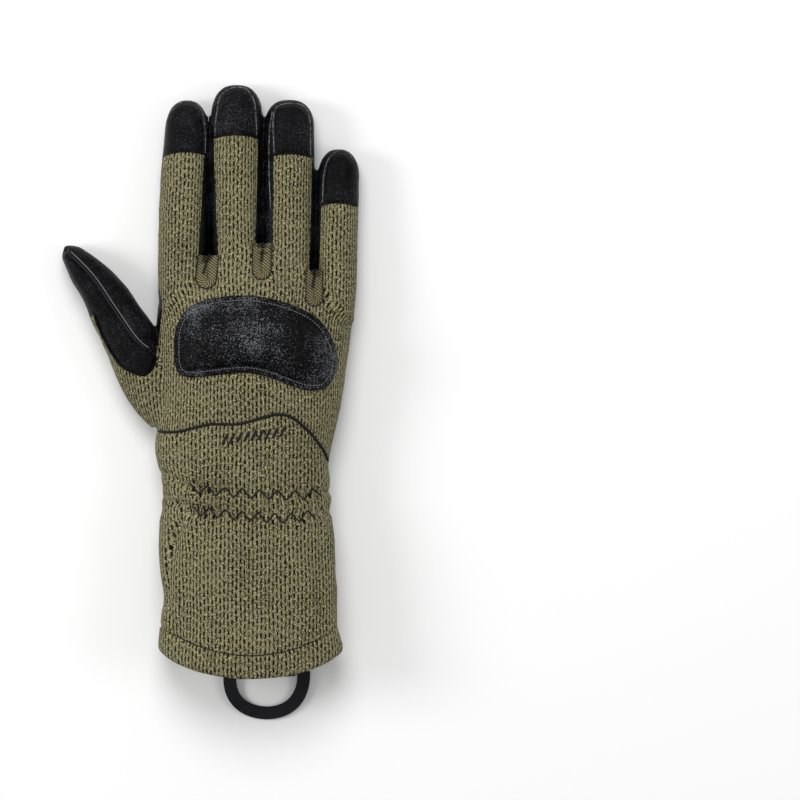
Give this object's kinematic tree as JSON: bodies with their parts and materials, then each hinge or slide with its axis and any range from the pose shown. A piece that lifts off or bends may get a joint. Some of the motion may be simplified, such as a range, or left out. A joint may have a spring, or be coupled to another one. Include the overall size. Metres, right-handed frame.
{
  "type": "firefighter glove",
  "caption": "Long-cuffed knitted work glove for the right hand with a leather palm, leather fingertip caps, padded knuckle guard and pull loop.",
  "frame": {"origin": "middle of the glove's plan, pull loop included, on the surface that it lies on", "axes": "+Y from the cuff to the fingertips, +Z out of the back of the hand, thumb towards -X"},
  "size_m": [0.148, 0.3194, 0.0439],
  "materials": {
    "knit": "olive melange rib knit, matte",
    "leather": "black grained leather, soft sheen",
    "guard_leather": "black fine-grained padded leather",
    "felt": "black brushed felt with a small bright motif",
    "webbing": "black ribbed webbing"
  },
  "bodies": {
    "root": {"back_panel": "knit", "index_middle_gusset": "knit", "middle_ring_gusset": "knit", "ring_little_gusset": "knit", "cuff": "knit", "cuff_hem": "knit", "palm_panel": "leather", "palm_hem": "leather", "index_cap": "leather", "middle_cap": "leather", "ring_cap": "leather", "little_cap": "leather", "index_fourchette": "leather", "middle_fourchette_index_side": "leather", "middle_fourchette_ring_side": "leather", "ring_fourchette_middle_side": "leather", "ring_fourchette_little_side": "leather", "little_fourchette": "leather", "thumb_palm_panel": "leather", "thumb_back_panel": "leather", "thumb_fourchette": "leather", "knuckle_guard": "guard_leather", "wrist_piping": "guard_leather", "strap_patch": "felt", "pull_loop": "webbing"}
  },
  "joints": []
}
